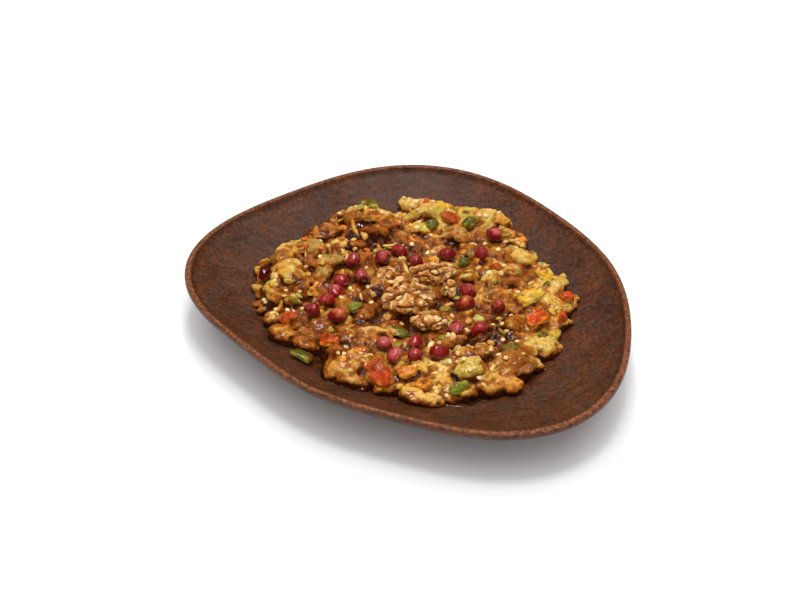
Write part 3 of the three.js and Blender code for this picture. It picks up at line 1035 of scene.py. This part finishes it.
# Arils that aren't the plain red: a pink or orange painted sheen over the side that faces up and to the
# front, and for aril_24 painted shade there instead.
# A tint, how strong it is, and how far it spreads as a share of the aril.
ARIL_SHEEN_AND_SHADE = {
    "aril_01": (ARIL_PINK_SHEEN, 0.4, 1.0),
    "aril_02": (ARIL_PINK_SHEEN, 0.4, 1.3),
    "aril_07": (ARIL_ORANGE_SHEEN, 0.8, 1.1),
    "aril_12": (ARIL_PINK_SHEEN, 0.8, 0.8),
    "aril_15": (ARIL_ORANGE_SHEEN, 0.8, 1.0),
    "aril_16": (ARIL_ORANGE_SHEEN, 0.4, 0.8),
    "aril_17": (ARIL_PINK_SHEEN, 0.5, 1.2),
    "aril_21": (ARIL_PINK_SHEEN, 0.55, 1.4),
    "aril_22": (ARIL_PINK_SHEEN, 0.7, 1.5),
    "aril_23": (ARIL_PINK_SHEEN, 0.35, 0.9),
    "aril_24": (ARIL_PAINTED_SHADE, 1.0, 2.0),
}


def aril_form(rng):
    """A drop with soft facets, as arils press each other flat in the fruit."""
    form, faces = icosphere(4)
    for _ in range(9):
        facing = rng.normal(0, 1, 3)
        facing /= np.linalg.norm(facing)
        over = np.maximum(form @ facing - rng.uniform(0.76, 0.92), 0)
        form = form - np.outer(0.9 * over, facing)
    form[:, 1:] *= (1 - 0.2 * form[:, 0])[:, None]
    form[:, 0] += 0.12 * form[:, 0] ** 3
    return form / np.abs(form).max(axis=0), faces


def arils():
    rng = np.random.default_rng(21)
    look = aril_material()
    for name in toppings_of("aril"):
        form, faces = aril_form(rng)
        tint, amount, reach = ARIL_SHEEN_AND_SHADE.get(name, (ARIL_PINK_SHEEN, rng.uniform(0.1, 0.5), 0.9))
        points = laid(name, form)
        outward = points - FORMS[name][0]
        outward /= np.linalg.norm(outward, axis=1)[:, None]
        uneven = fractal(form, 0.7, 2, rng.uniform(0, 50))
        # Painted sheen: the pale tint lies over the side that faces up and to the front.
        facing = outward @ (rng.uniform(-0.4, 0.4), -0.25, 0.9) + 0.35 * uneven
        pale = amount * smoothstep(0.95 - 0.55 * reach, 1.05, facing)[:, None]
        # Painted shade: each aril grows darker towards its underside.
        painted_shade = smoothstep(0.6, -0.4, outward[:, 2] + 0.5 * uneven)[:, None]
        colours = blend(ARIL_RED, ARIL_PAINTED_SHADE, 0.8 * painted_shade) * rng.uniform(0.75, 1.2)
        colours = blend(colours, tint, pale)
        # aril_24 is painted shade: dark over its upper side and a tenth darker all over.
        if tint is ARIL_PAINTED_SHADE:
            colours = colours * 0.9
        piece = topping(name, points, faces, look)
        colour_attribute(piece, "tint", colours)


def aril_material():
    """Juicy and glossy: red flesh with faint streaks that lets light in."""
    aril = Shader(
        "aril_flesh",
        Roughness=0.2,
        Specular_IOR_Level=0.35,
        Subsurface_Weight=0.12,
        Subsurface_Radius=(1.0, 0.1, 0.07),
        Subsurface_Scale=2.0 * MM,
        Coat_Weight=1.0,
        Coat_Roughness=0.04,
    )
    streaks = aril.noise(1.1, 3, 0.6, vector=aril.stretched((1, 1, 0.4)))
    shade = aril.ramp(streaks, (0.32, (0.62, 0.5, 0.5)), (0.55, (1, 1, 1)), (0.72, (1.3, 1.5, 1.4)))
    aril.tinted(shade)
    aril.bump((aril.noise(1.6, 2), 0.12))
    return aril.material


WALNUT_TAN = np.array([0.66, 0.24, 0.035])
WALNUT_CREAM = np.array([1.0, 0.68, 0.28])
# Dark brown painted as shade into the creases of the kernels.
WALNUT_CREASE_SHADE = np.array([0.085, 0.014, 0.001])
WALNUT_PURPLE = np.array([0.16, 0.055, 0.06])


def folds(points, size, offset):
    """1 in the winding creases between folds of that size, and 0 on top of the folds."""
    return np.exp(-np.abs(fractal(points, size, 1, offset)) / 0.13)


def walnut_form(steps, half, furrow, rng):
    """A kernel piece in mm with its creases: two lobes beside a furrow, folded like a walnut's."""
    sphere, faces = icosphere(steps)
    offset = rng.uniform(0, 90)
    form = sphere * half
    broad = folds(form, 5.0, offset)
    fine = folds(form, 2.6, offset + 30)
    middle = furrow * np.exp(-(sphere[:, 1] / 0.13) ** 2) * smoothstep(-0.2, 0.5, sphere[:, 2])
    swell = 1.08 + 0.2 * fractal(form, 8, 2, offset + 60) + 0.1 * fractal(form, 3.5, 1, offset + 9)
    inward = 2.6 * broad + 0.9 * fine + 3.0 * middle
    inward *= min(1.0, half[2] / 5)
    form = form * swell[:, None] - sphere * inward[:, None]
    return form, faces, np.clip(0.8 * broad + 0.5 * fine + middle, 0, 1)


def walnuts():
    rng = np.random.default_rng(32)
    look = walnut_material()
    for name in toppings_of("walnut"):
        half = FORMS[name][2]
        large = half[0] > 10
        form, faces, creases = walnut_form(6 if large else 5, half, 1.0 if large else 0.3, rng)
        # Cream where the kernel is broken, and painted highlight on the tops of the folds, away from the
        # creases.
        cream = smoothstep(-0.15, 0.3, fractal(form, 3.5, 3, rng.uniform(0, 90)) - 0.5 * creases)[:, None]
        mottle = 1 + 0.25 * fractal(form, 1.8, 2, 11)
        colours = blend(WALNUT_TAN, WALNUT_CREAM, cream) * mottle[:, None]
        if name == "walnut_05":
            purple = smoothstep(-0.3, 0.2, fractal(form, 4, 2, 3))[:, None]
            colours = blend(colours, WALNUT_PURPLE, purple)
        # Painted shade: the creases between the folds are darkened.
        colours = blend(colours, WALNUT_CREASE_SHADE, 0.85 * creases[:, None])
        piece = topping(name, laid(name, form), faces, look)
        colour_attribute(piece, "tint", colours)


def walnut_material():
    """Oily kernel: tan skin with fine veins, cream where it is broken; on kernels the piece colours also
    hold painted highlight on the fold tops and painted shade in the creases.
    """
    nut = Shader(
        "walnut_kernel",
        Subsurface_Weight=0.12,
        Subsurface_Radius=(1.0, 0.6, 0.3),
        Subsurface_Scale=1.2 * MM,
        Coat_Weight=0.3,
        Coat_Roughness=0.2,
    )
    veins = nut.noise(1.2, 4, 0.65, distortion=0.5)
    grain = nut.noise(0.4, 3, 0.6)
    shade = nut.ramp(veins, (0.32, (0.6, 0.5, 0.42)), (0.52, (1, 1, 1)), (0.7, (1.25, 1.3, 1.35)))
    nut.tinted(shade)
    nut.roughness(nut.ramp(veins, (0.3, 0.32), (0.7, 0.5)))
    nut.bump((veins, 0.3), (grain, 0.1))
    return nut.material


PEPPER_TINTS = {
    "red": ((0.56, 0.06, 0.005), (0.78, 0.24, 0.02)),
    "orange": ((0.68, 0.22, 0.015), (0.78, 0.40, 0.06)),
    "yellow": ((0.72, 0.40, 0.02), (0.78, 0.53, 0.12)),
    "green": ((0.085, 0.09, 0.006), (0.30, 0.28, 0.03)),
    "lime": ((0.19, 0.20, 0.011), (0.50, 0.44, 0.09)),
}
DULL_PEPPERS = ("pepper_red_05", "pepper_red_06", "pepper_red_08", "pepper_green_07")
LIGHT_GREENS = tuple(f"pepper_green_{number:02}" for number in (2, 6, 7, 8, 9))


def pepper_form(half, rng):
    """A diced piece in mm: a slab with worn edges, curved as the wall of a pepper is."""
    form, faces = rounded_box(4, 3.0)
    offset = rng.uniform(0, 90)
    form = form * (0.98 + 0.3 * fractal(form, 0.8, 3, offset))[:, None]
    share = form[:, 2].copy()
    form[:, 1] *= 1 - 0.2 * form[:, 0] * rng.choice([-1, 1])
    form = form * half
    form[:, 2] -= 0.35 * half[2] * (form[:, 0] / half[0]) ** 2
    form[:, 2] += 0.45 * fractal(form, 3.0, 2, offset + 5)
    return form, faces, share


def peppers():
    rng = np.random.default_rng(43)
    look = pepper_material()
    for name in toppings_of("pepper"):
        kind = name.split("_")[1]
        kind = "lime" if name in LIGHT_GREENS else kind
        form, faces, share = pepper_form(FORMS[name][2], rng)
        skin, flesh = PEPPER_TINTS[kind]
        cut = smoothstep(0.6, 0.1, share + 0.9 * fractal(form, 4, 2, rng.uniform(0, 90)))[:, None]
        colours = blend(skin, flesh, cut) * rng.uniform(0.85, 1.12)
        sauced = 0.85 * smoothstep(0.0, 0.5, fractal(form, 5, 3, rng.uniform(0, 90)))[:, None]
        if name in DULL_PEPPERS:
            sauced = 0.45 + 0.45 * sauced
        if kind == "yellow":
            sauced = 0.3 * sauced
        colours = blend(colours, PULP["brown"], sauced)
        piece = topping(name, laid(name, form), faces, look)
        colour_attribute(piece, "tint", colours)


def pepper_material():
    """Wet pepper: glossy skin and paler, watery flesh."""
    pepper = Shader(
        "pepper_flesh",
        Roughness=0.28,
        Subsurface_Weight=0.25,
        Subsurface_Radius=(1.0, 0.5, 0.15),
        Subsurface_Scale=1.5 * MM,
        Specular_IOR_Level=0.3,
        Coat_Weight=0.3,
        Coat_Roughness=0.06,
    )
    cells = pepper.noise(1.5, 4, 0.6, distortion=0.8)
    shade = pepper.ramp(cells, (0.3, (0.62, 0.5, 0.4)), (0.5, (1, 1, 1)), (0.7, (1.2, 1.4, 1.4)))
    pepper.tinted(shade)
    pepper.bump((cells, 0.25))
    return pepper.material


# Charred brown and amber; the amber is also a painted highlight on the ribs.
SKIN_DARK = np.array([0.11, 0.026, 0.004])
SKIN_AMBER_AND_HIGHLIGHT = np.array([0.50, 0.17, 0.022])


def aubergine_skin():
    """A folded strip of charred skin, ribbed along its length."""
    name = "aubergine_skin"
    half = FORMS[name][2]
    form, faces = rounded_box(5, 2.4)
    form = form * half
    ribs = fractal(form * (1, 0.5, 0.4), 3.6, 3, 14)
    lift = 2.2 * ribs + 3.4 * fractal(form, 7, 2, 3)
    form[:, 2] += lift * smoothstep(-half[2], 0.4 * half[2], form[:, 2])
    form[:, 1] += 1.8 * fractal(form, 4, 2, 17)
    form[:, 0] += 1.2 * fractal(form, 5, 2, 27)
    # Lighter on the raised ribs and darker between them: partly the skin's own amber and char, partly
    # painted highlight and shade.
    light = smoothstep(-0.25, 0.45, ribs + 0.5 * fractal(form, 5, 2, 30))[:, None]
    piece = topping(name, laid(name, form), faces, skin_material())
    colour_attribute(piece, "tint", blend(SKIN_DARK, SKIN_AMBER_AND_HIGHLIGHT, light))


def skin_material():
    skin = Shader("charred_skin", Specular_IOR_Level=0.2, Coat_Weight=0.3, Coat_Roughness=0.08)
    grain = skin.noise(0.9, 4, 0.6)
    shade = skin.ramp(grain, (0.3, (0.7, 0.65, 0.6)), (0.7, (1.25, 1.2, 1.2)))
    skin.tinted(shade)
    skin.roughness(skin.ramp(grain, (0.3, 0.3), (0.7, 0.46)))
    skin.bump((grain, 0.25))
    return skin.material


# ---------------------------------------------------------------- small things strewn on the mash

class Surface:
    """The top of a piece, found from above."""

    def __init__(self, piece):
        points = points_of(piece.data)
        faces = [tuple(p.vertices) for p in piece.data.polygons]
        self.tree = BVHTree.FromPolygons([tuple(p) for p in points], faces)

    def drop(self, x, y):
        place, normal, _, _ = self.tree.ray_cast(Vector((x, y, 90)), Vector((0, 0, -1)))
        if place is None:
            return None, None
        return np.array(place), np.array(normal)


SEED_PALE = (0.92, 0.72, 0.34)
SEED_GOLD = (0.66, 0.36, 0.08)
SEED_COUNT = 150
SEED_HALF = (1.25, 1.05, 0.6)  # half length, width and thickness
# Where seeds lie thicker: x, y and spread in mm, and how much thicker.
SEED_PATCHES = (
    (22, -56, 14, 3.0),
    (48, -44, 12, 2.5),
    (-32, 36, 10, 2.0),
    (-54, -4, 11, 2.0),
    (-24, -44, 10, 1.2),
    (58, 8, 11, 1.5),
    (4, 64, 16, 1.2),
    (52, 44, 10, 2.0),
)


def bare_spots(count, rng, clearance, patches=(), inset=0.62):
    """Random x and y on the mash, away from the CAD toppings, thicker in the patches."""
    spots = []
    thickest = 1 + max([weight for *_, weight in patches], default=0)
    while len(spots) < count:
        x, y = rng.uniform(-72, 82, 4000), rng.uniform(-68, 84, 4000)
        thickness = np.full(4000, 1.0 if not patches else 0.45)
        for patch_x, patch_y, spread, weight in patches:
            thickness += weight * np.exp(-((x - patch_x) ** 2 + (y - patch_y) ** 2) / spread**2)
        good = (MASH_DEPTH.read(x, y) > inset) & (rng.uniform(0, thickest, 4000) < thickness)
        for name in TOPPINGS:
            good &= plan_gap(name, x, y) > clearance
        spots += list(zip(x[good], y[good]))
    return spots[:count]


def strewn(name, body_parts, tints, look):
    """One piece from many small parts, each a pair of points and faces, with a colour each."""
    piece = mesh_object(name, *joined(body_parts))
    counts = [len(points) for points, _ in body_parts]
    colour_attribute(piece, "tint", np.repeat(np.array(tints), counts, axis=0))
    piece.data.materials.append(look)
    return piece


def scatter(spots, surface, rng, forms, faces, size, sunk, lean):
    """Lays a random form at each spot, flat on the surface, and gives the parts."""
    parts = []
    for x, y in spots:
        place, normal = surface.drop(x, y)
        if place is None:
            continue
        up = 0.75 * normal + (0, 0, 0.35) + rng.normal(0, lean, 3)
        axes = axes_about(up, rng.uniform(0, 2 * math.pi))
        scale = np.array(size) * rng.uniform(0.8, 1.2) * rng.uniform(0.9, 1.1, 3)
        form = forms[rng.integers(len(forms))] * scale
        parts.append((form @ axes + place + axes[2] * scale[2] * (1 - 2 * sunk), faces))
    return parts


def seeds(surface):
    """Cream aubergine seeds, flat drops about 2.5 mm long."""
    rng = np.random.default_rng(54)
    form, faces = icosphere(3)
    form[:, 1] *= 1 - 0.25 * form[:, 0]
    spots = bare_spots(SEED_COUNT, rng, 0.4, SEED_PATCHES)
    parts = scatter(spots, surface, rng, [form], faces, SEED_HALF, 0.5, 0.2)
    tints = [blend(SEED_PALE, SEED_GOLD, rng.uniform(0, 1)) for _ in parts]
    strewn("seeds", parts, tints, seed_material())


def seed_material():
    seed = Shader("seed_cream", Roughness=0.3, Subsurface_Weight=0.2, Subsurface_Scale=0.8 * MM,
                  Coat_Weight=0.5, Coat_Roughness=0.1)
    tone = seed.noise(0.9, 3, 0.6)
    shade = seed.ramp(tone, (0.3, (0.8, 0.72, 0.6)), (0.6, (1.05, 1.05, 1.05)))
    seed.tinted(shade)
    seed.bump((tone, 0.08))
    return seed.material


# Flecks of each kind: how many, and their half length, width and thickness.
FLECKS = {
    "red": (22, (1.7, 1.3, 0.6)),
    "orange": (16, (1.8, 1.3, 0.6)),
    "green": (14, (2.0, 1.3, 0.5)),
    "lime": (16, (2.2, 1.5, 0.6)),
    "yellow": (8, (1.9, 1.3, 0.6)),
}
CRUMB_COUNT = 26
CRUMB_HALF = (2.2, 1.6, 1.1)
CRUMB_PATCHES = ((6, 4, 17, 40.0), (18, -30, 9, 40.0))
STRAND_COUNT = 80


def flecks(surface):
    """Tiny bits of pepper and herb."""
    rng = np.random.default_rng(65)
    forms = []
    for _ in range(6):
        form, faces = rounded_box(3, 3.0)
        forms.append(form * (1 + 0.3 * fractal(form, 0.8, 2, rng.uniform(0, 90)))[:, None])
    look = pepper_material()
    for kind, (count, size) in FLECKS.items():
        skin, flesh = PEPPER_TINTS[kind]
        parts = scatter(bare_spots(count, rng, 0.3), surface, rng, forms, faces, size, 0.4, 0.35)
        tints = [
            blend(PULP["amber"], blend(skin, flesh, rng.uniform()), rng.uniform(0.4, 1)) for _ in parts
        ]
        strewn(f"flecks_{kind}", parts, tints, look)


def crumbs(surface):
    """Walnut crumbs around the kernels."""
    rng = np.random.default_rng(76)
    forms = []
    for _ in range(6):
        form, faces = icosphere(3)
        crease = folds(form, 0.8, rng.uniform(0, 90))
        forms.append(form * (1 + 0.3 * fractal(form, 0.9, 2, rng.uniform(0, 90)) - 0.25 * crease)[:, None])
    spots = bare_spots(CRUMB_COUNT, rng, 0.2, CRUMB_PATCHES)
    parts = scatter(spots, surface, rng, forms, faces, CRUMB_HALF, 0.35, 0.4)
    tints = [blend(WALNUT_TAN, WALNUT_CREAM, rng.uniform(0, 1)) for _ in parts]
    strewn("walnut_crumbs", parts, tints, walnut_material())


def strand(path, width, thickness):
    """A flat tapering strand along a path."""
    sides = 6
    count = len(path)
    share = np.linspace(0, 1, count)
    taper = 0.25 + 0.75 * np.sin(math.pi * share) ** 0.6
    ahead = np.gradient(path, axis=0)
    across = np.cross(ahead, (0, 0, 1))
    across /= np.linalg.norm(across, axis=1)[:, None]
    turn = full_turn(sides)
    rings = path[:, None] + (taper * width)[:, None, None] * np.cos(turn)[None, :, None] * across[:, None]
    rings = rings + (taper * thickness)[:, None, None] * np.sin(turn)[None, :, None] * np.array([0, 0, 1.0])
    return revolved(rings)


def strands(grid):
    """Shreds of aubergine flesh that lie over the lumps."""
    rng = np.random.default_rng(87)
    parts, colours = [], []
    for x, y in bare_spots(STRAND_COUNT, rng, 1.2, inset=0.8):
        length = rng.uniform(4, 9)
        heading = rng.uniform(0, 2 * math.pi) + np.cumsum(rng.normal(0, 0.22, 9))
        step = length / 8
        path_x = x + np.cumsum(step * np.cos(heading))
        path_y = y + np.cumsum(step * np.sin(heading))
        if MASH_DEPTH.read(path_x, path_y).min() < 0.72:
            continue
        path = np.stack([path_x, path_y, grid.read(path_x, path_y) + rng.uniform(-0.9, -0.1)], axis=1)
        part = strand(path, rng.uniform(0.7, 1.5), rng.uniform(0.5, 0.8))
        parts.append(part)
        kind = rng.choice(["pale", "olive", "gold", "amber", "gold"])
        colours.append(np.array(PULP[kind]) * rng.uniform(0.8, 1.2))
    points, faces = joined(parts)
    for name in TOPPINGS:
        centre, _, half = FORMS[name]
        gap = plan_gap(name, points[:, 0], points[:, 1])
        lid = centre[2] - 0.3 * half[2] + 2.0 * np.maximum(gap, 0)
        points[:, 2] = np.where(gap < 1.5, np.minimum(points[:, 2], lid), points[:, 2])
    piece = mesh_object("mash_strands", points, faces)
    colour_attribute(piece, "pulp", np.repeat(colours, [len(p) for p, _ in parts], axis=0))
    wet = smoothstep(0.3, 1.2, stain(points[:, 0], points[:, 1]) + 0.4 * fractal(points, 5, 2, 9))
    float_attribute(piece, "sauce", wet)
    piece.data.materials.append(PULP_LOOK)


# ---------------------------------------------------------------- sauce

# Pools on the plate beside the mash: direction from the mash's middle and width in degrees, and
# how far they reach beyond it in mm.
POOLS = (
    (-139, 14, 9.5),
    (-120, 9, 5.5),
    (-72, 8, 5.0),
    (-51, 7, 8.0),
    (-38, 5, 6.0),
)


def pool_ring():
    """Thin sauce that has run out around the foot of the mash."""
    sides, across = 300, 12
    angle = full_turn(sides)
    circle = np.stack([np.cos(angle), np.sin(angle), np.zeros(sides)], axis=1)
    reach = 1.5 * smoothstep(0.3, -0.3, circle[:, 1]) * (0.3 + 1.4 * fractal(circle, 0.2, 2, 4))
    for at, width, amount in POOLS:
        turn = (np.degrees(angle) - at + 180) % 360 - 180
        reach = reach + amount * np.exp(-(turn / width) ** 2)
    edge = outline_radius(angle)
    edge = np.convolve(np.tile(edge, 3), np.ones(7) / 7, mode="same")[sides:2 * sides]
    inner, outer = edge - 6.0, edge - 1.5 + reach
    share = np.linspace(0, 1, across)[:, None]
    radius = inner + (outer - inner) * share
    x, y = around_mash(angle, radius)
    top = plate_top(x, y) + 0.03 + 0.6 * (1 - share**2)
    bottom = plate_top(x, y) - 0.15
    return banded(sheet_rings(x, y, top, bottom))


def sauce_sheet(grid):
    """Sauce that stands in the hollows of the mash where most of it was poured."""
    sides, across = 180, 44
    angle = full_turn(sides)
    share = np.linspace(0.02, 1, across)[:, None]
    radius = share * (outline_radius(angle) - 6.0)
    x, y = around_mash(angle, radius)
    flat = np.stack([x, y, 0 * x], axis=2).reshape(-1, 3)
    wet = stain(x, y) + 0.3 * fractal(flat, 9, 2, 2).reshape(x.shape)
    drop = 6.5 - 5.0 * smoothstep(0.9, 1.5, wet) - 0.5 * fractal(flat, 3, 2, 6).reshape(x.shape)
    top = grid.read(x, y) - drop - 3.0 * smoothstep(0.9, 1.0, share)
    top = np.maximum(top, plate_top(x, y) + 1.0)
    return revolved(sheet_rings(x, y, top, top - 0.8))


def sauce(grid):
    """The sauce in the hollows and the thin pools at the mash's foot."""
    look = sauce_material()
    ring = mesh_object("sauce_pools", *pool_ring())
    sheet = mesh_object("sauce_glaze", *sauce_sheet(grid))
    for piece in (ring, sheet):
        piece.data.materials.append(look)


def sauce_material():
    """Dark molasses: almost black, with a mirror gloss."""
    liquid = Shader("molasses", Coat_Weight=0.4, Coat_Roughness=0.04)
    drift = liquid.noise(6, 3, 0.6)
    liquid.colour(liquid.ramp(drift, (0.35, (0.016, 0.005, 0.003)), (0.65, (0.11, 0.032, 0.008))))
    liquid.roughness(liquid.ramp(drift, (0.3, 0.05), (0.7, 0.12)))
    liquid.bump((liquid.noise(3.5, 2), 0.25))
    return liquid.material


# ---------------------------------------------------------------- the build

camera()
studio()
floor()
plate()
PULP_LOOK = pulp_material()
MASH = mash()
MASH_SOFT = softened(points_of(MASH.data), 0.9)
arils()
walnuts()
peppers()
aubergine_skin()
ON_MASH = Surface(MASH)
seeds(ON_MASH)
flecks(ON_MASH)
crumbs(ON_MASH)
strands(MASH_SOFT)
sauce(softened(points_of(MASH.data), 2.4))
